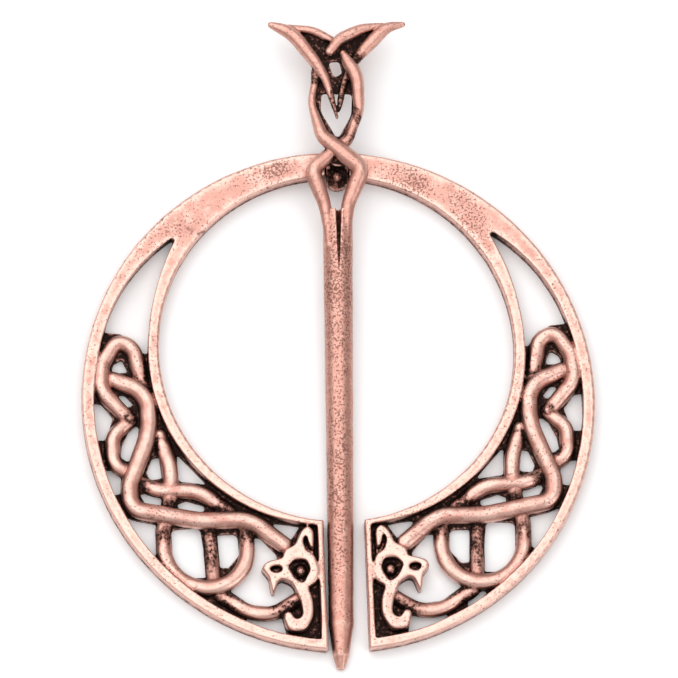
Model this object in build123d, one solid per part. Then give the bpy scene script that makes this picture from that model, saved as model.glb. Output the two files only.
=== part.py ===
"""Cloak clasp: a cast open ring with pierced interlace and two beast heads, and a forked swinging pin.

Lengths are in millimetres. The clasp lies on its flat back, its face towards +Z and the pin's
point towards -Y. The ring and the pin are drawn about the ring's centre on the ring's back, and
both are moved at the end so that the origin is the middle of the clasp's footprint.
"""
import os
from math import cos, radians, sin
from typing import NamedTuple

from build123d import *

# The ring's blank: a round plate with a round opening set towards the top, and a gap at the bottom
RING_RADIUS = 31.8
RING_THICKNESS = 2.3
OPENING_RADIUS = 22.05
OPENING_RISE = 6.6          # the opening's centre above the ring's centre
GAP_HALF_WIDTH = 2.55       # from the ring's middle line to a terminal's end
RING_TURN = 1.75            # degrees that the gap lies off the pin's line

# The two sunk panels between the rims
WEB_THICKNESS = 0.9         # what is left of the plate under the strands
OUTER_RIM_INSIDE = 30.3     # radius of the outer rim's inner edge
OUTER_RIM_DROP = 0.25       # its centre below the ring's centre
INNER_RIM_OUTSIDE = 23.4    # radius of the inner rim's outer edge, about the opening's centre
INNER_RIM_END = -15.9       # where that edge meets the border along the terminal's end
END_BORDER = 0.8            # width of the border along a terminal's end
EDGE_ROUND = 0.35           # rounding of the cast outer edges

# The beast heads
HEAD_HEIGHT = 2.55
HEAD_EDGE = 0.2
SOCKET_FLOOR = 1.25         # height of the sunk eye, nostril and ear hollow
IRIS_RADIUS = 0.8

# The hinge: a bar across a notch in the top of the ring, and the pin's knuckle round it
HINGE_Y = 30.24             # the middle of the band, above the ring's centre
HINGE_Z = 1.55
BAR_RADIUS = 0.8
BAR_CLEARANCE = 0.05
NOTCH_WIDTH = 3.0
KNUCKLE_WIDTH = 2.7
KNUCKLE_RADIUS = 1.5
BOSS_RADIUS = 1.55          # the round boss that shows between the fork's legs
BOSS_Y = 28.3
BOSS_Z = 2.0
KNOB_RADIUS = 0.85          # the small dome on the boss
KNOB_Z = 2.95
STEM_RADIUS = 1.2           # from the knuckle up to the crossing
STEM_Y = 30.6
STEM_TOP = 4.3

# The pin's head
PLATE_BOTTOM = 3.4
PLATE_TOP = 4.0


class Bend(NamedTuple):
    """A corner of a path or an outline, rounded to the given bend."""

    x: float
    y: float
    z: float
    bend: float


class Corner(NamedTuple):
    """A corner of a flat outline, rounded to the given bend."""

    x: float
    y: float
    bend: float


class Thickness(NamedTuple):
    """A strand's radius at a share of its length."""

    share: float
    radius: float


class Section(NamedTuple):
    """A section of the pin's shaft: its place, its width, its flat back and its crown."""

    y: float
    centre: float
    width: float
    back: float
    height: float
    side: float


# The strands of the left panel. The first and last rows are ends, which need no bend.
MAIN_STRAND = [
    Bend(-27.8, 3.4, 0.7, 0),
    Bend(-23.6, 1.6, 1.25, 3.4),
    Bend(-23.6, -3.5, 1.25, 9.0),
    Bend(-26.25, -10.2, 1.25, 4.0),
    Bend(-26.25, -13.2, 1.25, 1.9),
    Bend(-17.5, -14.9, 1.25, 12.0),
    Bend(-11.6, -14.85, 1.25, 5.0),
    Bend(-7.5, -18.1, 1.0, 0),
]
TOP_LOOP = [
    Bend(-24.1, 2.4, 0.65, 0),
    Bend(-25.2, 7.3, 1.15, 2.0),
    Bend(-27.15, 8.45, 1.25, 1.4),
    Bend(-29.15, 5.4, 1.3, 2.5),
    Bend(-29.4, 2.0, 1.3, 3.0),
    Bend(-26.1, -1.65, 0.75, 0),
]
SIDE_KINK = [
    Bend(-25.85, -1.8, 0.6, 0),
    Bend(-28.15, -3.8, 1.1, 2.2),
    Bend(-28.15, -7.3, 1.05, 1.7),
    Bend(-25.6, -9.0, 0.5, 0),
]
UPRIGHT_AND_LOOP = [
    Bend(-22.3, -3.9, 0.65, 0),
    Bend(-21.0, -8.5, 1.15, 7.0),
    Bend(-21.4, -12.5, 0.5, 5.0),
    Bend(-22.25, -15.8, 0.6, 4.0),
    Bend(-22.25, -23.5, 1.1, 5.3),
    Bend(-11.95, -23.25, 1.3, 4.8),
    Bend(-12.05, -16.2, 0.6, 0),
]
CROSS_STRAND = [
    Bend(-25.2, -9.6, 0.4, 0),
    Bend(-22.8, -10.8, 0.85, 4.0),
    Bend(-17.6, -11.1, 1.1, 5.0),
    Bend(-14.0, -13.8, 0.5, 0),
]
TAIL_STRAND = [
    Bend(-16.6, -15.2, 0.45, 0),
    Bend(-16.2, -23.9, 0.7, 2.2),
    Bend(-11.7, -26.75, 1.0, 5.0),
    Bend(-8.8, -26.75, 1.0, 4.0),
    Bend(-5.6, -24.7, 0.6, 0),
]
STRANDS = {
    "main": (MAIN_STRAND, 1.1),
    "top_loop": (TOP_LOOP, 1.0),
    "side_kink": (SIDE_KINK, 0.95),
    "upright_and_loop": (UPRIGHT_AND_LOOP, 1.0),
    "cross": (CROSS_STRAND, 0.98),
    "tail": (TAIL_STRAND, 0.94),
}

# The openings pierced through the left panel's web. Corners past a rim or under a head are filled
# by it, so each outline is only as exact as the web beside it.
CRESCENT = [
    Corner(-31.5, 10.4, 0), Corner(-28.4, 9.45, 0.4), Corner(-26.7, 9.3, 1.0), Corner(-24.8, 8.1, 1.0),
    Corner(-23.9, 6.7, 0.3), Corner(-22.5, 6.6, 0), Corner(-14.0, 25.0, 0), Corner(-31.5, 25.0, 0),
]
PIERCINGS = {
    "loop_eye": [
        Corner(-28.0, 4.3, 0.3), Corner(-27.7, 5.45, 0.4),
        Corner(-26.6, 6.1, 0.3), Corner(-25.85, 4.3, 0.3),
    ],
    "loop_slot": [
        Corner(-27.5, 1.6, 0.25), Corner(-26.4, 1.5, 0.3),
        Corner(-25.3, 0.2, 0.25), Corner(-26.1, -0.15, 0.3),
    ],
    "rim_upper": [
        Corner(-30.9, 0.7, 0.3), Corner(-29.3, 0.4, 0.3), Corner(-27.95, -1.4, 0.35),
        Corner(-28.95, -4.25, 0.4), Corner(-30.9, -4.3, 0.3),
    ],
    "slant": [
        Corner(-25.8, -2.6, 0.5), Corner(-24.75, -2.4, 0.3), Corner(-25.1, -5.1, 0.5),
        Corner(-26.2, -7.15, 0.4), Corner(-27.2, -6.5, 0.4), Corner(-27.0, -5.0, 1.0),
    ],
    "rim_middle": [
        Corner(-30.6, -7.7, 0.2), Corner(-28.0, -8.1, 0.5), Corner(-27.2, -8.9, 0.4),
        Corner(-27.35, -11.1, 0.3), Corner(-29.2, -11.4, 0.3),
    ],
    "upright_left": [
        Corner(-24.05, -8.4, 0.3), Corner(-23.3, -6.6, 0.3), Corner(-22.45, -6.5, 0.2),
        Corner(-22.15, -9.25, 0.25), Corner(-23.7, -9.45, 0.3),
    ],
    "upright_right": [
        Corner(-20.3, -6.0, 0.2), Corner(-16.55, -10.2, 0.2), Corner(-18.6, -9.9, 0.6),
        Corner(-20.1, -9.7, 0.4),
    ],
    "bend_left": [
        Corner(-25.1, -11.1, 0.3), Corner(-23.2, -10.9, 0.6), Corner(-22.25, -11.8, 0.4),
        Corner(-22.3, -12.9, 0.3), Corner(-24.3, -12.5, 0.6),
    ],
    "bend_right": [
        Corner(-20.4, -12.5, 0.25), Corner(-19.3, -12.1, 0.5), Corner(-17.1, -12.8, 0.3),
        Corner(-17.1, -13.6, 0.25), Corner(-20.2, -13.5, 0.3),
    ],
    "rim_lower": [
        Corner(-27.9, -13.6, 0.1), Corner(-25.4, -14.55, 1.0), Corner(-23.0, -15.05, 0.4),
        Corner(-23.1, -18.7, 0.3), Corner(-24.0, -19.7, 0.1),
    ],
    "loop_large": [
        Corner(-21.25, -15.75, 0.6), Corner(-17.7, -15.55, 0.7), Corner(-16.95, -22.0, 0.5),
        Corner(-19.4, -21.95, 1.6), Corner(-21.2, -19.6, 1.6),
    ],
    "loop_small": [
        Corner(-15.85, -16.5, 0.45), Corner(-13.1, -16.5, 0.7), Corner(-13.0, -19.2, 1.2),
        Corner(-14.4, -20.8, 0.3), Corner(-15.4, -20.7, 0.2),
    ],
    "jaw_front": [
        Corner(-11.5, -17.0, 0.4), Corner(-10.35, -17.0, 0.8), Corner(-8.4, -19.2, 0.3),
        Corner(-8.2, -21.8, 0.3), Corner(-6.6, -22.6, 0.5), Corner(-6.0, -24.2, 0.3),
        Corner(-7.7, -25.2, 1.0), Corner(-9.5, -25.75, 1.5), Corner(-11.8, -25.55, 1.5),
        Corner(-14.5, -23.6, 0.4), Corner(-12.3, -21.2, 1.5), Corner(-11.4, -19.0, 1.5),
    ],
    "ear_back": [
        Corner(-8.9, -15.2, 0.2), Corner(-7.4, -15.35, 0.6), Corner(-5.4, -15.7, 0.1),
        Corner(-6.6, -17.5, 0.2), Corner(-7.5, -17.1, 0.5),
    ],
    "curl_under": [
        Corner(-13.0, -27.0, 0.3), Corner(-10.5, -27.35, 1.0), Corner(-7.9, -27.2, 0.2),
        Corner(-7.4, -30.0, 0.3), Corner(-10.2, -29.8, 0.3),
    ],
}
# The casting has one more small opening by the rim, on the right side only.
RIGHT_PIERCINGS = {
    "rim_slot": [
        Corner(-17.6, -24.5, 0.2), Corner(-16.9, -24.3, 0.2),
        Corner(-14.95, -25.2, 0.3), Corner(-15.0, -26.9, 0.2),
    ],
}

# The beast's head at the end of the left terminal
HEAD_OUTLINE = [
    Corner(-4.5, -15.9, 0.35), Corner(-3.75, -16.6, 0.6), Corner(-3.85, -19.4, 0.8),
    Corner(-3.3, -21.5, 1.2), Corner(-3.6, -23.1, 0.7), Corner(-4.75, -23.8, 0.3),
    Corner(-4.15, -25.4, 1.5), Corner(-4.15, -27.3, 1.8), Corner(-5.2, -29.35, 1.2),
    Corner(-7.5, -29.35, 1.2), Corner(-8.05, -27.0, 0.6), Corner(-7.05, -26.65, 0.4),
    Corner(-6.35, -27.9, 0.35), Corner(-5.55, -27.2, 0.4), Corner(-5.75, -25.5, 1.5),
    Corner(-6.7, -23.2, 1.2), Corner(-8.2, -22.5, 0.6), Corner(-9.2, -25.1, 0.23),
    Corner(-9.5, -22.5, 0.8), Corner(-10.45, -21.2, 0.35), Corner(-9.8, -20.35, 0.35),
    Corner(-7.75, -20.0, 0.2), Corner(-7.6, -19.0, 0.4), Corner(-6.15, -18.3, 1.0),
    Corner(-5.45, -16.6, 1.2),
]
EYE = [
    Corner(-7.1, -21.1, 0.35), Corner(-6.3, -20.25, 0.6), Corner(-4.9, -20.25, 0.6),
    Corner(-4.35, -21.5, 0.8), Corner(-5.3, -23.3, 0.35), Corner(-6.35, -22.55, 0.6),
]
EAR_HOLLOW = [
    Corner(-4.85, -16.75, 0.15), Corner(-5.15, -18.0, 0.5), Corner(-4.8, -19.2, 0.6),
    Corner(-3.35, -19.95, 0.1), Corner(-3.3, -19.2, 0.1), Corner(-4.4, -18.7, 0.4),
]
IRIS = (-5.55, -21.6)
NOSTRIL = (-8.58, -21.4)
NOSTRIL_SEMI_AXES = (0.72, 0.42)

# The pin's shaft, from the fork's crotch to its point. It sinks through the ring's gap, so that
# the point rests on what the clasp lies on.
SHAFT = [
    Section(24.0, 0.0, 3.7, 2.55, 1.95, 0.7),
    Section(17.0, 0.0, 3.6, 2.2, 2.2, 0.8),
    Section(-5.0, 0.05, 3.3, 1.25, 2.15, 0.8),
    Section(-28.3, 0.1, 3.05, 0.25, 2.05, 0.7),
    Section(-32.2, 0.05, 1.9, 0.06, 1.75, 0.5),
    Section(-33.9, 0.0, 0.8, 0.0, 1.1, 0.3),
]
# The fork's crotch runs on as a groove that narrows along the shaft: its place, half its width,
# its bottom and the level it is cut from
GROOVE = [(24.6, 0.6, 3.2, 4.9), (16.0, 0.12, 4.15, 4.55)]

# The two strands of the pin's head, each from the finial through the crossing to a leg of the
# fork, and how thick each is along its length
OVER_STRAND = [
    Bend(-2.5, 41.6, 4.0, 0),
    Bend(-3.35, 37.6, 4.35, 4.5),
    Bend(-2.05, 33.2, 4.75, 2.0),
    Bend(2.95, 29.0, 4.65, 1.35),
    Bend(1.2, 24.7, 3.75, 5.0),
    Bend(0.8, 19.5, 3.3, 0),
]
OVER_THICKNESS = [
    Thickness(0, 0.75), Thickness(0.35, 0.85), Thickness(0.6, 1.1), Thickness(0.8, 0.85),
    Thickness(1, 0.9),
]
UNDER_STRAND = [
    Bend(0.75, 44.0, 4.3, 0),
    Bend(2.45, 41.0, 4.6, 5.0),
    Bend(2.7, 36.6, 4.4, 4.5),
    Bend(1.3, 32.9, 4.15, 2.0),
    Bend(-3.3, 28.9, 4.5, 1.35),
    Bend(-1.7, 24.7, 3.75, 5.0),
    Bend(-0.9, 19.5, 3.3, 0),
]
UNDER_THICKNESS = [
    Thickness(0, 0.5), Thickness(0.2, 0.78), Thickness(0.5, 0.8), Thickness(0.66, 1.0),
    Thickness(0.8, 0.85), Thickness(1, 0.9),
]

# The finial: a thin plate, and raised on it two wings that run on to the tip of the tongue, and
# two leaves between them
FINIAL_PLATE = [
    Corner(-7.6, 47.3, 0.2), Corner(-5.2, 47.6, 1.0), Corner(-0.5, 46.0, 0.3),
    Corner(3.0, 47.5, 2.0), Corner(7.2, 48.0, 0.2),
    Corner(3.0, 43.6, 1.0), Corner(2.5, 42.4, 1.0), Corner(2.9, 37.5, 3.0),
    Corner(1.5, 32.2, 1.0), Corner(-1.8, 31.9, 0.6), Corner(-3.2, 37.5, 3.0),
    Corner(-2.8, 42.0, 1.5), Corner(-4.4, 44.9, 1.5),
]
FINIAL_LOOP = [
    Corner(-1.95, 38.9, 0.4), Corner(-2.1, 36.6, 2.0), Corner(0.0, 32.9, 0.4),
    Corner(1.75, 36.2, 2.5), Corner(1.85, 38.9, 0.4),
]
FINIAL_EYE = [
    Corner(-1.1, 43.0, 0.4), Corner(0.3, 43.1, 0.4), Corner(0.65, 41.6, 0.4),
    Corner(-0.4, 40.9, 0.4),
]
LEFT_WING = [
    Bend(-8.25, 47.55, 4.5, 0),
    Bend(-5.6, 46.55, 4.5, 5.0),
    Bend(-1.6, 41.35, 4.45, 14.0),
    Bend(-0.05, 35.7, 4.15, 0),
]
LEFT_WING_THICKNESS = [
    Thickness(0, 0.42), Thickness(0.12, 0.75), Thickness(0.3, 0.88), Thickness(0.55, 0.7),
    Thickness(0.8, 0.42), Thickness(1, 0.2),
]
RIGHT_WING = [
    Bend(8.2, 47.8, 4.5, 0),
    Bend(6.1, 47.4, 4.5, 3.0),
    Bend(2.3, 43.4, 4.3, 8.0),
    Bend(0.75, 40.0, 4.1, 6.0),
    Bend(0.15, 36.6, 4.0, 0),
]
RIGHT_WING_THICKNESS = [
    Thickness(0, 0.38), Thickness(0.14, 0.7), Thickness(0.3, 0.85), Thickness(0.55, 0.58),
    Thickness(0.8, 0.42), Thickness(1, 0.2),
]
LEFT_LEAF = [
    Bend(-6.1, 47.35, 4.3, 0),
    Bend(-3.1, 46.95, 4.3, 4.0),
    Bend(-0.5, 45.65, 4.3, 0),
]
LEFT_LEAF_THICKNESS = [
    Thickness(0, 0.35), Thickness(0.4, 0.52), Thickness(0.8, 0.55), Thickness(1, 0.45),
]
RIGHT_LEAF = [
    Bend(-0.95, 44.15, 4.6, 0),
    Bend(0.25, 45.75, 4.65, 3.0),
    Bend(3.0, 47.15, 4.6, 6.0),
    Bend(5.6, 47.7, 4.5, 0),
]
RIGHT_LEAF_THICKNESS = [
    Thickness(0, 0.58), Thickness(0.2, 0.7), Thickness(0.4, 0.76), Thickness(0.6, 0.68),
    Thickness(0.8, 0.5), Thickness(1, 0.3),
]


def path_of(rows):
    """A line through the rows' corners, each rounded to its bend."""
    points = [(row.x, row.y, row.z) for row in rows]
    return FilletPolyline(*points, radius=[row.bend for row in rows[1:-1]])


def rod(rows, thickness):
    """A round rod along the rows, closed with a ball at each end."""
    path = path_of(rows)
    profiles = [
        Plane(origin=path @ row.share, z_dir=path % row.share) * Circle(row.radius)
        for row in thickness
    ]
    ends = [Pos(*(path @ row.share)) * Sphere(row.radius) for row in (thickness[0], thickness[-1])]
    return sweep(profiles, path=path, multisection=True).fuse(*ends)


def even_rod(rows, radius):
    """A rod of the same thickness throughout."""
    path = path_of(rows)
    profile = Plane(origin=path @ 0, z_dir=path % 0) * Circle(radius)
    ends = [Pos(*(path @ share)) * Sphere(radius) for share in (0, 1)]
    return sweep(profile, path=path).fuse(*ends)


def outline(corners):
    """A flat face with rounded corners."""
    points = [(corner.x, corner.y) for corner in corners]
    return make_face(FilletPolyline(*points, radius=[corner.bend for corner in corners], close=True))


def slab(face, bottom, top):
    """A flat face given the heights of its bottom and its top."""
    return extrude(Pos(0, 0, bottom) * face, amount=top - bottom)


def raised(face, bottom, top, bevel):
    """A slab whose top edge is bevelled."""
    solid = slab(face, bottom, top)
    return chamfer(solid.faces().sort_by(Axis.Z)[-1].edges(), bevel)


def joined(solids):
    """Solids fused into one, each in its turn."""
    whole, *others = solids
    for solid in others:
        whole = whole.fuse(solid)
    return whole


def both_sides(solid):
    """A solid of the left half and its mirror image."""
    return [solid, mirror(solid, about=Plane.YZ)]


def on_circle(radius, centre_y, angle):
    """A point of a circle on the ring's middle line, by its angle from +X in degrees."""
    return (radius * cos(radians(angle)), centre_y + radius * sin(radians(angle)))


def left_panel():
    """The sunk panel between the rims: a crescent that runs from a shoulder down to the end."""
    end = GAP_HALF_WIDTH + END_BORDER
    outer_foot = (-end, -OUTER_RIM_DROP - (OUTER_RIM_INSIDE**2 - end**2) ** 0.5)
    inner_foot = (-end, INNER_RIM_END)
    outer_side = on_circle(OUTER_RIM_INSIDE, -OUTER_RIM_DROP, 161)
    inner_side = on_circle(INNER_RIM_OUTSIDE, OPENING_RISE, 180)
    tip_outside = (-20.1, 21.05)
    tip_inside = (-19.75, 20.6)
    edges = [
        ThreePointArc(outer_foot, on_circle(OUTER_RIM_INSIDE, -OUTER_RIM_DROP, 210), outer_side),
        ThreePointArc(outer_side, (-25.2, 16.25), tip_outside),
        ThreePointArc(tip_outside, (-19.75, 21.0), tip_inside),
        ThreePointArc(tip_inside, (-22.1, 14.9), inner_side),
        ThreePointArc(inner_side, on_circle(INNER_RIM_OUTSIDE, OPENING_RISE, 220), inner_foot),
        Line(inner_foot, outer_foot),
    ]
    return make_face(edges)


def blank():
    """The ring's plate with its opening and its gap, rounded along the edges."""
    gap = Pos(0, -RING_RADIUS) * Rectangle(2 * GAP_HALF_WIDTH, 2 * RING_RADIUS)
    face = Circle(RING_RADIUS) - Pos(0, OPENING_RISE) * Circle(OPENING_RADIUS) - gap
    plate = slab(face, 0, RING_THICKNESS)
    rim_edges = plate.edges().filter_by(Plane.XY)
    return fillet(rim_edges, EDGE_ROUND)


def beast_head():
    """The left head in relief, with its eye, nostril and ear sunk into it."""
    head = raised(outline(HEAD_OUTLINE), 0, HEAD_HEIGHT, HEAD_EDGE)
    nostril = Pos(*NOSTRIL) * Ellipse(*NOSTRIL_SEMI_AXES)
    for hollow in (outline(EYE), outline(EAR_HOLLOW), nostril):
        head -= slab(hollow, SOCKET_FLOOR, HEAD_HEIGHT + 1)
    return head + Pos(*IRIS, SOCKET_FLOOR) * Sphere(IRIS_RADIUS)


def make_ring():
    """The whole casting, in its own symmetrical position, then turned as the clasp lies."""
    plate = blank()
    panel = left_panel()
    pocket = slab(panel, WEB_THICKNESS, RING_THICKNESS + 1)
    for side in both_sides(pocket):
        plate -= side
    openings = [outline(corners) for corners in (CRESCENT, *PIERCINGS.values())]
    cuts = [slab(face & panel, -1, WEB_THICKNESS + 1) for face in openings]
    cuts = [side for cut in cuts for side in both_sides(cut)]
    extra = [outline(corners) & panel for corners in RIGHT_PIERCINGS.values()]
    cuts += [mirror(slab(face, -1, WEB_THICKNESS + 1), about=Plane.YZ) for face in extra]
    plate = plate.cut(*cuts)
    relief = [even_rod(rows, radius) for rows, radius in STRANDS.values()]
    relief.append(beast_head())
    plate = plate.fuse(*[side for solid in relief for side in both_sides(solid)])
    below = Pos(0, 0, -2) * Box(3 * RING_RADIUS, 3 * RING_RADIUS, 4)
    return (plate - below).rotate(Axis.Z, RING_TURN)


def with_hinge_bar(ring):
    """The ring with a notch through the band and a round bar across it."""
    notch = Pos(0, HINGE_Y, HINGE_Z) * Box(NOTCH_WIDTH, 5, 6)
    bar = Pos(0, HINGE_Y, HINGE_Z) * Rot(0, 90, 0) * Cylinder(BAR_RADIUS, NOTCH_WIDTH + 1)
    return ring - notch + bar


def shaft_section(row):
    """A flat-backed section of the shaft with upright sides and a round crown."""
    half = row.width / 2
    left, right = row.centre - half, row.centre + half
    shoulder = row.back + row.side
    edges = [
        Line((left, row.back), (right, row.back)),
        Line((right, row.back), (right, shoulder)),
        ThreePointArc((right, shoulder), (row.centre, row.back + row.height), (left, shoulder)),
        Line((left, shoulder), (left, row.back)),
    ]
    return Plane(origin=(0, row.y, 0), x_dir=(1, 0, 0), z_dir=(0, -1, 0)) * make_face(edges)


def shaft():
    """The tapering shaft with the groove that runs on from the fork."""
    body = loft([shaft_section(row) for row in SHAFT], ruled=True)
    sections = []
    for y, half, bottom, top in GROOVE:
        corners = Polyline((-half, y, top), (half, y, top), (0, y, bottom), close=True)
        sections.append(make_face(corners))
    return body - loft(sections, ruled=True)


def finial_plate():
    """The thin plate under the wings and leaves, with its two openings."""
    plate = slab(outline(FINIAL_PLATE), PLATE_BOTTOM, PLATE_TOP)
    for corners in (FINIAL_LOOP, FINIAL_EYE):
        plate -= slab(outline(corners), PLATE_BOTTOM - 1, PLATE_TOP + 1)
    return plate


def blades():
    """The finial's two wings and two leaves."""
    return [
        rod(RIGHT_WING, RIGHT_WING_THICKNESS),
        rod(LEFT_WING, LEFT_WING_THICKNESS),
        rod(LEFT_LEAF, LEFT_LEAF_THICKNESS),
        rod(RIGHT_LEAF, RIGHT_LEAF_THICKNESS),
    ]


def knuckle():
    """The eye that turns on the ring's bar, its stem up to the head, and the round boss."""
    hinge = Pos(0, HINGE_Y, HINGE_Z)
    eye = hinge * Rot(0, 90, 0) * Cylinder(KNUCKLE_RADIUS, KNUCKLE_WIDTH)
    height = STEM_TOP - HINGE_Z
    stem = Pos(0, STEM_Y, HINGE_Z + height / 2) * Cylinder(STEM_RADIUS, height)
    boss = Pos(0, BOSS_Y, BOSS_Z) * Sphere(BOSS_RADIUS)
    knob = Pos(0, BOSS_Y, KNOB_Z) * Sphere(KNOB_RADIUS)
    in_notch = hinge * Box(KNUCKLE_WIDTH, 12, 12)
    bore = hinge * Rot(0, 90, 0) * Cylinder(BAR_RADIUS + BAR_CLEARANCE, 12)
    return joined([eye, stem, boss & in_notch, knob]) - bore


def make_pin():
    """The pin in one casting: shaft, fork, crossing strands, finial and knuckle."""
    strands = [rod(OVER_STRAND, OVER_THICKNESS), rod(UNDER_STRAND, UNDER_THICKNESS)]
    return joined([shaft(), *strands, finial_plate(), *blades(), knuckle()])


def main():
    """Write one file for each piece, moved so that the origin is under the clasp's middle."""
    pieces = {"ring": with_hinge_bar(make_ring()), "pin": make_pin()}
    box = Compound(list(pieces.values())).bounding_box()
    middle = Pos(-box.center().X, -box.center().Y, 0)
    os.makedirs("parts", exist_ok=True)
    for name, piece in pieces.items():
        solids = piece.solids()
        print(name, len(solids), "solid,", round(piece.volume, 1), "mm3")
        export_step(middle * solids[0], f"parts/{name}.step")
    print("moved by", middle.position, "box", box)


main()
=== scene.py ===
from math import cos, radians, sin
from typing import NamedTuple

import bmesh
import bpy
import numpy as np
from mathutils import Matrix, Vector
from mathutils.bvhtree import BVHTree


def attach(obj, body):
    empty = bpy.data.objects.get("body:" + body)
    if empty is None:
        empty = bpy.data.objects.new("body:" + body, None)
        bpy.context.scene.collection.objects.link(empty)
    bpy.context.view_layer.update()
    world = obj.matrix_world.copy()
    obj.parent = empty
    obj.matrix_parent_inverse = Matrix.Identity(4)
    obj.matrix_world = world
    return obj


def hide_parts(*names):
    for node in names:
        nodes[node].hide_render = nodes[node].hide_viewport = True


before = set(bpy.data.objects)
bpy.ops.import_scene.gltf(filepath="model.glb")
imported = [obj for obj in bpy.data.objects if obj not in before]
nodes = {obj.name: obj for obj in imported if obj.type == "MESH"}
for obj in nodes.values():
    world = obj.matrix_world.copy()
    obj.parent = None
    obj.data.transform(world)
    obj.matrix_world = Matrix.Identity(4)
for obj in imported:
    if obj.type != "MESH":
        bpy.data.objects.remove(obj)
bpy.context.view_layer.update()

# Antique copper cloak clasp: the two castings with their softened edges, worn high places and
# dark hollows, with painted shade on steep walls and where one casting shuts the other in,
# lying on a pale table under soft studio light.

MM = 0.001

# Camera: a long lens above the clasp, a little below its middle, turned so the pin stands upright
PHOTO_AZIMUTH = -14.77
PHOTO_ELEVATION = 74.3
PHOTO_SIDE = 678
PIXELS_PER_MM = 8.08
PHOTO_CENTRE = Vector((0.05, 0.56, 2.3)) * MM
CAMERA_DISTANCE = 1.2
SENSOR_WIDTH = 36.0


def link(obj):
    """Puts an object into the scene."""
    bpy.context.scene.collection.objects.link(obj)
    return obj


# Camera, table and light


def add_camera():
    """The photograph's camera."""
    azimuth, elevation = radians(PHOTO_AZIMUTH), radians(PHOTO_ELEVATION)
    level = Vector((sin(azimuth), -cos(azimuth), 0))
    across = Vector((cos(azimuth), sin(azimuth), 0))
    back = cos(elevation) * level + sin(elevation) * Vector((0, 0, 1))
    along = sin(elevation) * level - cos(elevation) * Vector((0, 0, 1))
    right = across.x * across + level.x * along
    up = across.y * across + level.y * along
    turn = Matrix((right, up, back)).transposed().to_4x4()
    lens = bpy.data.cameras.new("photo_camera")
    lens.sensor_width = SENSOR_WIDTH
    lens.lens = SENSOR_WIDTH * CAMERA_DISTANCE * PIXELS_PER_MM / (PHOTO_SIDE * MM)
    lens.clip_start = 0.01
    lens.clip_end = 10
    camera = link(bpy.data.objects.new("photo_camera", lens))
    camera.matrix_world = Matrix.Translation(PHOTO_CENTRE + CAMERA_DISTANCE * back) @ turn
    bpy.context.scene.camera = camera


def add_softbox(name, place, aim, size, watts):
    """A square soft white light aimed at a point."""
    light = bpy.data.lights.new(name, "AREA")
    light.shape = "SQUARE"
    light.size = size
    light.energy = watts
    box = link(bpy.data.objects.new(name, light))
    box.location = place
    box.rotation_euler = (Vector(aim) - Vector(place)).to_track_quat("-Z", "Y").to_euler()


def add_table():
    """A plain pale table top."""
    mesh = bpy.data.meshes.new("table")
    half = 2.0
    mesh.from_pydata(
        [(-half, -half, 0), (half, -half, 0), (half, half, 0), (-half, half, 0)], [], [(0, 1, 2, 3)]
    )
    table = link(bpy.data.objects.new("table", mesh))
    paper = bpy.data.materials.new("table_paper")
    paper.use_nodes = True
    shader = paper.node_tree.nodes["Principled BSDF"]
    shader.inputs["Base Color"].default_value = (0.9, 0.9, 0.9, 1)
    shader.inputs["Roughness"].default_value = 0.9
    shader.inputs["Specular IOR Level"].default_value = 0.1
    mesh.materials.append(paper)


def add_sky(strength):
    """Even white light from all round."""
    world = bpy.data.worlds.new("studio")
    world.use_nodes = True
    back = world.node_tree.nodes["Background"]
    back.inputs["Color"].default_value = (1, 1, 1, 1)
    back.inputs["Strength"].default_value = strength
    bpy.context.scene.world = world


# Shader groups


class Group:
    """A shader node group while it is being put together."""

    def __init__(self, name, inputs, outputs):
        self.tree = bpy.data.node_groups.new(name, "ShaderNodeTree")
        for label, kind, value in inputs:
            socket = self.tree.interface.new_socket(label, in_out="INPUT", socket_type=kind)
            if value is not None:
                socket.default_value = value
        for label, kind in outputs:
            self.tree.interface.new_socket(label, in_out="OUTPUT", socket_type=kind)
        self.given = self.tree.nodes.new("NodeGroupInput").outputs
        self.result = self.tree.nodes.new("NodeGroupOutput").inputs


def wire(tree, value, socket):
    """Sets a socket to a number or colour, or joins it to another node's output."""
    if isinstance(value, bpy.types.NodeSocket):
        tree.links.new(value, socket)
    else:
        socket.default_value = value


def math(tree, operation, *values):
    """The result of one sum on numbers or other nodes' outputs."""
    node = tree.nodes.new("ShaderNodeMath")
    node.operation = operation
    for value, socket in zip(values, node.inputs):
        wire(tree, value, socket)
    return node.outputs[0]


def ramp(tree, value, low, high, to_low=0.0, to_high=1.0):
    """A value spread smoothly from one range onto another."""
    node = tree.nodes.new("ShaderNodeMapRange")
    node.interpolation_type = "SMOOTHSTEP"
    for item, socket in zip((value, low, high, to_low, to_high), node.inputs):
        wire(tree, item, socket)
    return node.outputs[0]


def mixed(tree, share, first, second):
    """Two colours mixed by a mask."""
    node = tree.nodes.new("ShaderNodeMix")
    node.data_type = "RGBA"
    node.clamp_factor = True
    wire(tree, share, node.inputs["Factor"])
    wire(tree, first, node.inputs[6])
    wire(tree, second, node.inputs[7])
    return node.outputs[2]


def noise_of(tree, vector, scale, detail, roughness):
    """Cloudy noise at a place, about 0.5 on the whole."""
    node = tree.nodes.new("ShaderNodeTexNoise")
    settings = {"Vector": vector, "Scale": scale, "Detail": detail, "Roughness": roughness}
    for label, value in settings.items():
        wire(tree, value, node.inputs[label])
    return node.outputs["Fac"]


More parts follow.
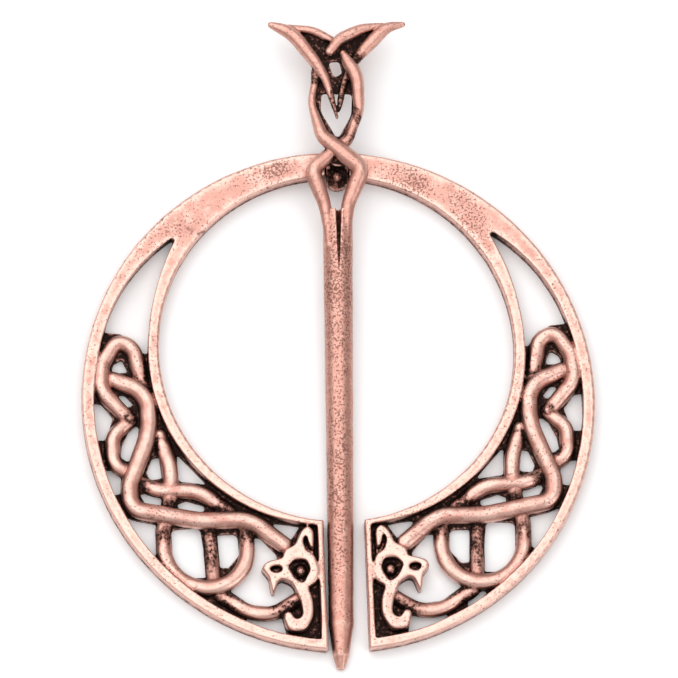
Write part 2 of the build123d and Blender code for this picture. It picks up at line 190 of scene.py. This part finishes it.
def pits_group():
    """Fine pits and specks of a sand-like casting: a mask, and a height for the bump."""
    group = Group(
        "casting_pits",
        [
            ("Vector", "NodeSocketVector", None),
            ("Speck Scale", "NodeSocketFloat", 3500.0),
            ("Coverage", "NodeSocketFloat", 0.3),
            ("Patch Scale", "NodeSocketFloat", 120.0),
        ],
        [("Mask", "NodeSocketFloat"), ("Height", "NodeSocketFloat")],
    )
    tree, given = group.tree, group.given
    fine = noise_of(tree, given["Vector"], given["Speck Scale"], 3.0, 0.6)
    patch = noise_of(tree, given["Vector"], given["Patch Scale"], 3.0, 0.55)
    limit = math(tree, "MULTIPLY_ADD", given["Coverage"], 0.35, 0.3)
    drift = math(tree, "MULTIPLY_ADD", patch, 0.24, -0.12)
    limit = math(tree, "ADD", limit, drift)
    over = math(tree, "SUBTRACT", limit, fine)
    mask = ramp(tree, over, -0.02, 0.06)
    wire(tree, mask, group.result["Mask"])
    wire(tree, math(tree, "SUBTRACT", fine, math(tree, "MULTIPLY", mask, 0.6)), group.result["Height"])
    return group.tree


def patina_and_shade_group():
    """How dark the finish is: full in the hollows and on walls, broken up by the rubbing. It is patina
    in a casting's own hollows and creases, patina with painted shade on steep walls, and painted shade
    where the other casting shuts a place in.
    """
    group = Group(
        "patina_and_painted_shade",
        [
            ("Vector", "NodeSocketVector", None),
            ("Hollow", "NodeSocketFloat", 0.0),
            ("Rub", "NodeSocketFloat", 1.0),
            ("Ridge", "NodeSocketFloat", 0.5),
            ("Tarnish", "NodeSocketFloat", 0.0),
            ("Start", "NodeSocketFloat", 0.35),
            ("Full", "NodeSocketFloat", 0.85),
            ("Break Scale", "NodeSocketFloat", 2600.0),
        ],
        [("Dark", "NodeSocketFloat"), ("Warm", "NodeSocketFloat"), ("Worn", "NodeSocketFloat")],
    )
    tree, given = group.tree, group.given
    broken = noise_of(tree, given["Vector"], given["Break Scale"], 4.0, 0.65)
    # Darkening from the hollow and from unrubbed places: patina, with painted shade on steep walls and
    # where the other casting shuts a place in.
    depth = math(tree, "MULTIPLY", given["Hollow"], 1.15)
    kept = math(tree, "SUBTRACT", 1.0, given["Rub"])
    depth = math(tree, "MULTIPLY_ADD", kept, 0.75, depth)
    crease = math(tree, "SUBTRACT", 0.5, given["Ridge"])
    depth = math(tree, "MULTIPLY_ADD", crease, 0.6, depth)
    depth = math(tree, "MULTIPLY_ADD", given["Tarnish"], 0.75, depth)
    depth = math(tree, "MINIMUM", depth, 0.98)
    spread = math(tree, "SUBTRACT", broken, 0.5)
    mottled = math(tree, "MULTIPLY_ADD", spread, 1.9, depth)
    dark = ramp(tree, mottled, given["Start"], given["Full"])
    wire(tree, dark, group.result["Dark"])
    early = math(tree, "SUBTRACT", given["Start"], 0.25)
    warm = ramp(tree, math(tree, "MULTIPLY_ADD", spread, 0.5, depth), early, given["Full"])
    wire(tree, warm, group.result["Warm"])
    high = math(tree, "MULTIPLY_ADD", spread, 0.3, given["Ridge"])
    worn = math(tree, "MULTIPLY", ramp(tree, high, 0.45, 0.8), math(tree, "SUBTRACT", 1.0, warm))
    wire(tree, worn, group.result["Worn"])
    return group.tree


PITS = pits_group()
PATINA_AND_SHADE = patina_and_shade_group()
WARM_BROWN = (0.2, 0.075, 0.055, 1)
BROWN = (0.12, 0.05, 0.038, 1)
BLACK_BROWN = (0.022, 0.013, 0.011, 1)


def placed(tree, group, **values):
    """A group's node in a material, with its inputs set."""
    node = tree.nodes.new("ShaderNodeGroup")
    node.node_tree = group
    for label, value in values.items():
        wire(tree, value, node.inputs[label.replace("_", " ").title()])
    return node.outputs


def attribute(tree, name):
    """A value that the mesh keeps for each vertex."""
    node = tree.nodes.new("ShaderNodeAttribute")
    node.attribute_name = name
    return node.outputs["Fac"]


def antique_copper(name, copper, worn, start, full, coverage, base_rough):
    """Copper plate over a casting: dark brown patina in the hollows, painted shade on steep walls and
    where the other casting shuts it in, pink and bright where it is rubbed.
    """
    material = bpy.data.materials.new(name)
    material.use_nodes = True
    tree = material.node_tree
    shader = tree.nodes["Principled BSDF"]
    place = tree.nodes.new("ShaderNodeTexCoord").outputs["Object"]
    hollow, rub, ridge, speck, tarnish, seam = (
        attribute(tree, label) for label in ("hollow", "rub", "ridge", "speck", "tarnish", "seam")
    )
    patina_and_shade = placed(
        tree,
        PATINA_AND_SHADE,
        vector=place,
        hollow=hollow,
        rub=rub,
        ridge=ridge,
        tarnish=tarnish,
        start=start,
        full=full,
    )
    cover = math(tree, "MULTIPLY_ADD", speck, 0.25, coverage)
    pits = placed(tree, PITS, vector=place, coverage=cover)
    tone = ramp(tree, noise_of(tree, place, 260.0, 4.0, 0.6), 0.3, 0.7)
    metal = mixed(tree, tone, copper, [0.9 * part for part in copper[:3]] + [1])
    metal = mixed(tree, patina_and_shade["Worn"], metal, worn)
    metal = mixed(tree, math(tree, "MULTIPLY", pits["Mask"], 0.65), metal, BROWN)
    # Warm brown, then black-brown, over the patina and over the painted shade on walls and between the
    # castings.
    metal = mixed(tree, math(tree, "MULTIPLY", patina_and_shade["Warm"], 0.85), metal, WARM_BROWN)
    metal = mixed(tree, patina_and_shade["Dark"], metal, BLACK_BROWN)
    metal = mixed(tree, math(tree, "MULTIPLY", seam, 0.75), metal, BROWN)
    wire(tree, metal, shader.inputs["Base Color"])
    shader.inputs["Metallic"].default_value = 1.0
    rough = math(tree, "MULTIPLY_ADD", patina_and_shade["Dark"], 0.25, base_rough)
    rough = math(tree, "MULTIPLY_ADD", pits["Mask"], 0.15, rough)
    wire(tree, math(tree, "MULTIPLY_ADD", patina_and_shade["Worn"], -0.06, rough), shader.inputs["Roughness"])
    bump = tree.nodes.new("ShaderNodeBump")
    bump.inputs["Strength"].default_value = 0.4
    bump.inputs["Distance"].default_value = 0.06 * MM
    wire(tree, pits["Height"], bump.inputs["Height"])
    wire(tree, bump.outputs["Normal"], shader.inputs["Normal"])
    return material


# Castings


def evaluated(obj, name):
    """An object's mesh with its modifiers applied, as a new object at the origin."""
    graph = bpy.context.evaluated_depsgraph_get()
    mesh = bpy.data.meshes.new_from_object(obj.evaluated_get(graph))
    mesh.name = name
    bpy.data.objects.remove(obj)
    return link(bpy.data.objects.new(name, mesh))


def softened(node, name, cell, rounds, triangles):
    """A closed copy of a CAD piece on an even mesh, its sharp edges rounded as cast edges are."""
    mesh = node.data.copy()
    body = bmesh.new()
    body.from_mesh(mesh)
    bmesh.ops.remove_doubles(body, verts=body.verts, dist=1e-6)
    body.to_mesh(mesh)
    body.free()
    obj = link(bpy.data.objects.new(name, mesh))
    remesh = obj.modifiers.new("even_mesh", "REMESH")
    remesh.mode = "VOXEL"
    remesh.voxel_size = cell
    remesh.use_smooth_shade = True
    smooth = obj.modifiers.new("cast_edges", "SMOOTH")
    smooth.factor = 0.5
    smooth.iterations = rounds
    waves = bpy.data.textures.new(name + "_waves", "CLOUDS")
    waves.noise_scale = 2.2 * MM
    waves.noise_depth = 2
    uneven = obj.modifiers.new("uneven_skin", "DISPLACE")
    uneven.texture = waves
    uneven.texture_coords = "LOCAL"
    uneven.strength = 0.09 * MM
    uneven.mid_level = 0.5
    obj = evaluated(obj, name)
    count = sum(len(face.vertices) - 2 for face in obj.data.polygons)
    thin = obj.modifiers.new("fewer_faces", "DECIMATE")
    thin.ratio = min(1.0, triangles / count)
    obj = evaluated(obj, name)
    for face in obj.data.polygons:
        face.use_smooth = True
    return obj


def vertex_arrays(mesh):
    """A mesh's vertices, their normals and its edges as arrays."""
    count = len(mesh.vertices)
    points = np.empty(3 * count)
    mesh.vertices.foreach_get("co", points)
    normals = np.empty(3 * count)
    mesh.vertices.foreach_get("normal", normals)
    edges = np.empty(2 * len(mesh.edges), dtype=np.int64)
    mesh.edges.foreach_get("vertices", edges)
    return points.reshape(-1, 3), normals.reshape(-1, 3), edges.reshape(-1, 2)


def neighbour_mean(values, edges, count):
    """Each vertex's mean over its neighbours."""
    values = values.reshape(count, -1)
    total = np.zeros_like(values)
    hits = np.zeros(count)
    for a, b in ((0, 1), (1, 0)):
        for column in range(values.shape[1]):
            total[:, column] += np.bincount(edges[:, a], values[edges[:, b], column], count)
        hits += np.bincount(edges[:, a], minlength=count)
    return total / np.maximum(hits, 1)[:, None]


def sky_directions(count, seed):
    """Directions spread over the half sphere about +Z, more of them near its top."""
    rng = np.random.default_rng(seed)
    share = (np.arange(count) + 0.5) / count
    turn = 2.399963 * np.arange(count) + rng.random()
    flat = np.sqrt(share)
    return np.column_stack((flat * np.cos(turn), flat * np.sin(turn), np.sqrt(1 - share)))


def hollow_values(mesh, others, reach, rays):
    """How much of the space over each vertex is shut in by metal nearby, from 0 to 1. Rays meet both
    castings, so besides a casting's own hollows this holds painted shade where the other casting shuts
    it in, baked with both at rest.
    """
    points, normals, edges = vertex_arrays(mesh)
    count = len(points)
    trees = [BVHTree.FromObject(obj, bpy.context.evaluated_depsgraph_get()) for obj in others]
    helper = np.where(np.abs(normals[:, 2:3]) < 0.9, [[0.0, 0.0, 1.0]], [[1.0, 0.0, 0.0]])
    side = np.cross(helper, normals)
    side /= np.linalg.norm(side, axis=1)[:, None]
    third = np.cross(normals, side)
    starts = points + normals * 0.03 * MM
    shut = np.zeros(count)
    for flat_x, flat_y, rise in sky_directions(rays, 3):
        ways = flat_x * side + flat_y * third + rise * normals
        for index, (start, way) in enumerate(zip(starts.tolist(), ways.tolist())):
            for tree in trees:
                hit = tree.ray_cast(start, way, reach)
                if hit[0] is not None:
                    shut[index] += 1.0 - 0.7 * hit[3] / reach
                    break
    shut /= rays
    for _ in range(2):
        shut = 0.5 * shut + 0.5 * neighbour_mean(shut, edges, count)[:, 0]
    return shut


def ridge_values(mesh, rounds, gain):
    """How far each vertex stands out from its neighbours: 0.5 on a flat, more on an edge."""
    points, normals, edges = vertex_arrays(mesh)
    count = len(points)
    spread = points
    for _ in range(rounds):
        spread = neighbour_mean(spread, edges, count)
    out = np.einsum("ij,ij->i", points - spread, normals)
    return np.clip(0.5 + gain * out / MM, 0, 1)


def smoothstep(values, low, high):
    """A smooth rise from 0 at the low value to 1 at the high one."""
    share = np.clip((values - low) / (high - low), 0, 1)
    return share * share * (3 - 2 * share)


def polish_and_wall_shade_values(mesh, low, high, above_y):
    """How much polishing has reached each vertex: the tops of the relief, not walls or the ground.
    Steep walls kept low in it also give painted shade on them.
    """
    points, normals, _ = vertex_arrays(mesh)
    # Steep walls count as half polished, so the finish paints them darker: painted shade on the walls
    # as well as patina.
    facing = smoothstep(np.abs(normals[:, 2]), -0.35, 0.35)
    top = smoothstep(points[:, 2] / MM, low, high)
    top = np.where(points[:, 1] / MM > above_y, top, 1.0)
    return facing * np.where(normals[:, 2] > -0.2, top, 0.85)


def patch_values(mesh, patches):
    """1 inside an oval patch and under its top, falling to 0 round it."""
    points, _, _ = vertex_arrays(mesh)
    x, y, z = (points / MM).T
    total = np.zeros(len(points))
    for patch in patches:
        c, s = cos(radians(patch.turn)), sin(radians(patch.turn))
        dx, dy = x - patch.x, y - patch.y
        along, across = (c * dx + s * dy) / patch.half_long, (c * dy - s * dx) / patch.half_wide
        inside = 1 - smoothstep(np.hypot(along, across), 0.55, 1.25)
        total = np.maximum(total, inside * (1 - smoothstep(z, patch.top - 0.3, patch.top)))
    return total


def seam_values(mesh, places, half_width):
    """1 on a hairline seam through the places, falling to 0 beside it."""
    points, _, _ = vertex_arrays(mesh)
    flat = points[:, :2] / MM
    nearest = np.full(len(flat), 9.0)
    for start, end in zip(np.array(places[:-1]), np.array(places[1:])):
        way = end - start
        share = np.clip((flat - start) @ way / (way @ way), 0, 1)
        nearest = np.minimum(nearest, np.linalg.norm(flat - start - share[:, None] * way, axis=1))
    return 1 - smoothstep(nearest, 0.3 * half_width, half_width)


def rounded_heads(mesh, heads, rounds):
    """Smooths the relief of the two heads further, so their brows, snouts and jaws are round."""
    points, _, edges = vertex_arrays(mesh)
    x, y, z = (points / MM).T
    share = np.zeros(len(points))
    for head_x, head_y, reach in heads:
        near = 1 - smoothstep(np.hypot(x - head_x, y - head_y), 0.85 * reach, reach)
        share = np.maximum(share, near)
    share = (share * smoothstep(z, 1.6, 2.1))[:, None]
    for _ in range(rounds):
        points = points + share * 0.6 * (neighbour_mean(points, edges, len(points)) - points)
    mesh.vertices.foreach_set("co", points.ravel())
    mesh.update()


def store(mesh, name, values):
    """Keeps one value per vertex for the materials to read."""
    layer = mesh.attributes.new(name, "FLOAT", "POINT")
    layer.data.foreach_set("value", values.astype(np.float32))


class Patch(NamedTuple):
    """An oval patch of the skin, in millimetres and degrees, and the height it ends at."""

    x: float
    y: float
    half_long: float
    half_wide: float
    turn: float
    top: float


# Mesh of the castings. The pin's cell and its triangles are a share of the ring's.
CELL = 0.11 * MM
TRIANGLES = 190000
PIN_SHARE = 0.7
RING_SMOOTHING = 4
PIN_SMOOTHING = 8
HEAD_SMOOTHING = 10

# How the hollows and the high places are found
RAYS = 20
HOLLOW_REACH = 1.8 * MM
RIDGE_SMOOTHING = 4
RIDGE_GAIN = 9.0
# The heights in millimetres between which the polishing begins, and the y above which they count
RUB_HEIGHTS = {"ring": (0.9, 1.25, -100), "pin": (3.95, 4.3, 25)}

# Where the skin is coarser
SPECKS = {
    "ring": [
        Patch(16.3, 17.0, 3.9, 2.2, -55.0, 9.0),
        Patch(-7.7, 22.25, 2.2, 1.0, 20.0, 9.0),
        Patch(8.5, 21.4, 4.0, 1.6, -20.0, 9.0),
    ],
    "pin": [
        Patch(0.0, 5.0, 2.0, 11.0, 0.0, 9.0),
        Patch(-0.3, -16.0, 1.5, 12.0, 0.0, 9.0),
    ],
}
# Patches kept darker below their top height, drawn for the left half of the ring and mirrored
LEFT_DARK_PATCHES = [
    Patch(-25.9, -1.6, 1.1, 1.0, 0.0, 2.2),
    Patch(-24.3, 4.2, 1.0, 2.0, 10.0, 1.9),
    Patch(-27.9, -7.0, 1.2, 1.6, 40.0, 1.9),
    Patch(-22.2, -5.0, 0.9, 1.4, 0.0, 1.9),
    Patch(-24.0, -10.3, 1.5, 0.9, -15.0, 1.9),
    Patch(-21.3, -13.2, 1.1, 1.5, 0.0, 1.9),
    Patch(-15.2, -12.9, 1.8, 1.0, -35.0, 1.9),
    Patch(-16.5, -18.5, 1.1, 4.0, 0.0, 1.9),
    Patch(-22.3, -17.0, 1.1, 1.8, 0.0, 1.9),
    Patch(-20.6, -22.3, 2.6, 1.0, -35.0, 2.0),
    Patch(-12.1, -17.4, 1.1, 1.6, 0.0, 1.9),
    Patch(-14.0, -25.2, 3.0, 1.1, -25.0, 1.9),
    Patch(-8.0, -26.3, 2.6, 1.2, 15.0, 2.1),
    Patch(-5.6, -21.8, 1.3, 1.6, 0.0, 2.2),
]
# Patches on the pin kept darker below their top height, round the knob and where strands cross
PIN_DARK_PATCHES = [
    Patch(0.0, 21.2, 1.8, 1.8, 0.0, 4.2),
    Patch(0.0, 23.4, 1.3, 1.4, 0.0, 4.6),
    Patch(-1.1, 23.7, 1.3, 1.1, 40.0, 5.15),
    Patch(1.6, 26.4, 0.9, 1.6, -20.0, 5.0),
    Patch(-2.7, 33.9, 0.9, 1.6, 0.0, 4.9),
    Patch(2.5, 36.4, 1.1, 1.5, -40.0, 5.2),
    Patch(0.3, 30.8, 0.8, 3.6, 0.0, 4.7),
    Patch(-0.3, 30.4, 0.8, 2.6, 8.0, 5.3),
    Patch(1.0, 32.6, 0.6, 3.2, -17.0, 4.9),
    Patch(2.4, 28.6, 0.7, 1.8, 15.0, 5.4),
    Patch(-1.0, 38.6, 1.0, 0.6, -30.0, 4.9),
]
# A hairline seam on the band's left shoulder
SEAM_HALF_WIDTH = 0.16
SEAM = [(-18.85, 14.75), (-18.15, 14.3), (-17.4, 13.9), (-16.85, 14.15), (-16.2, 14.3)]
# The two beast heads: x, y and reach
HEADS = [(-6.1, -29.8, 8.0), (7.5, -29.4, 8.0)]
# How the ring lies: turned by these degrees, its centre at this y
RING_TURN = 1.75
RING_MIDDLE_Y = -7.14


def on_both_sides(patches):
    """Patches of the ring's left half and their mirror images, turned as the ring lies."""
    c, s = cos(radians(RING_TURN)), sin(radians(RING_TURN))
    placed_patches = []
    for side in (1, -1):
        for patch in patches:
            x, y = side * patch.x, patch.y
            placed_patches.append(
                patch._replace(
                    x=c * x - s * y,
                    y=s * x + c * y + RING_MIDDLE_Y,
                    turn=side * patch.turn + RING_TURN,
                )
            )
    return placed_patches


DARK_PATCHES = {"ring": on_both_sides(LEFT_DARK_PATCHES), "pin": PIN_DARK_PATCHES}

add_camera()
add_table()
add_sky(0.62)
add_softbox("overhead", (-0.22, 0.22, 0.8), (-0.05, 0.05, 0), 1.5, 10.0)
add_softbox("fill", (0.7, -0.5, 0.5), (0, 0, 0), 0.5, 1.5)
bpy.context.scene.view_settings.view_transform = "Standard"

ring = softened(nodes["ring"], "ring_casting", CELL, RING_SMOOTHING, TRIANGLES)
pin = softened(nodes["pin"], "pin_casting", PIN_SHARE * CELL, PIN_SMOOTHING, TRIANGLES * PIN_SHARE)
rounded_heads(ring.data, HEADS, HEAD_SMOOTHING)
castings = {"ring": ring, "pin": pin}
for node, casting in castings.items():
    mesh = casting.data
    # hollow: patina in each casting's own hollows, and painted shade where the other casting shuts it
    # in.
    store(mesh, "hollow", hollow_values(mesh, [ring, pin], HOLLOW_REACH, RAYS))
    store(mesh, "ridge", ridge_values(mesh, RIDGE_SMOOTHING, RIDGE_GAIN))
    # rub: polishing on the tops of the relief, and painted shade on steep walls.
    store(mesh, "rub", polish_and_wall_shade_values(mesh, *RUB_HEIGHTS[node]))
    store(mesh, "speck", patch_values(mesh, SPECKS[node]))
    store(mesh, "tarnish", patch_values(mesh, DARK_PATCHES[node]))
    store(mesh, "seam", seam_values(mesh, SEAM, SEAM_HALF_WIDTH))

finishes = {
    "ring": antique_copper(
        "antique_copper_ring",
        copper=(0.58, 0.305, 0.25, 1),
        worn=(0.76, 0.485, 0.41, 1),
        start=0.5,
        full=0.95,
        coverage=0.26,
        base_rough=0.4,
    ),
    "pin": antique_copper(
        "antique_copper_pin",
        copper=(0.55, 0.275, 0.22, 1),
        worn=(0.74, 0.45, 0.375, 1),
        start=0.5,
        full=0.95,
        coverage=0.26,
        base_rough=0.4,
    ),
}
for node, casting in castings.items():
    casting.data.materials.clear()
    casting.data.materials.append(finishes[node])
    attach(casting, node)
    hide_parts(node)
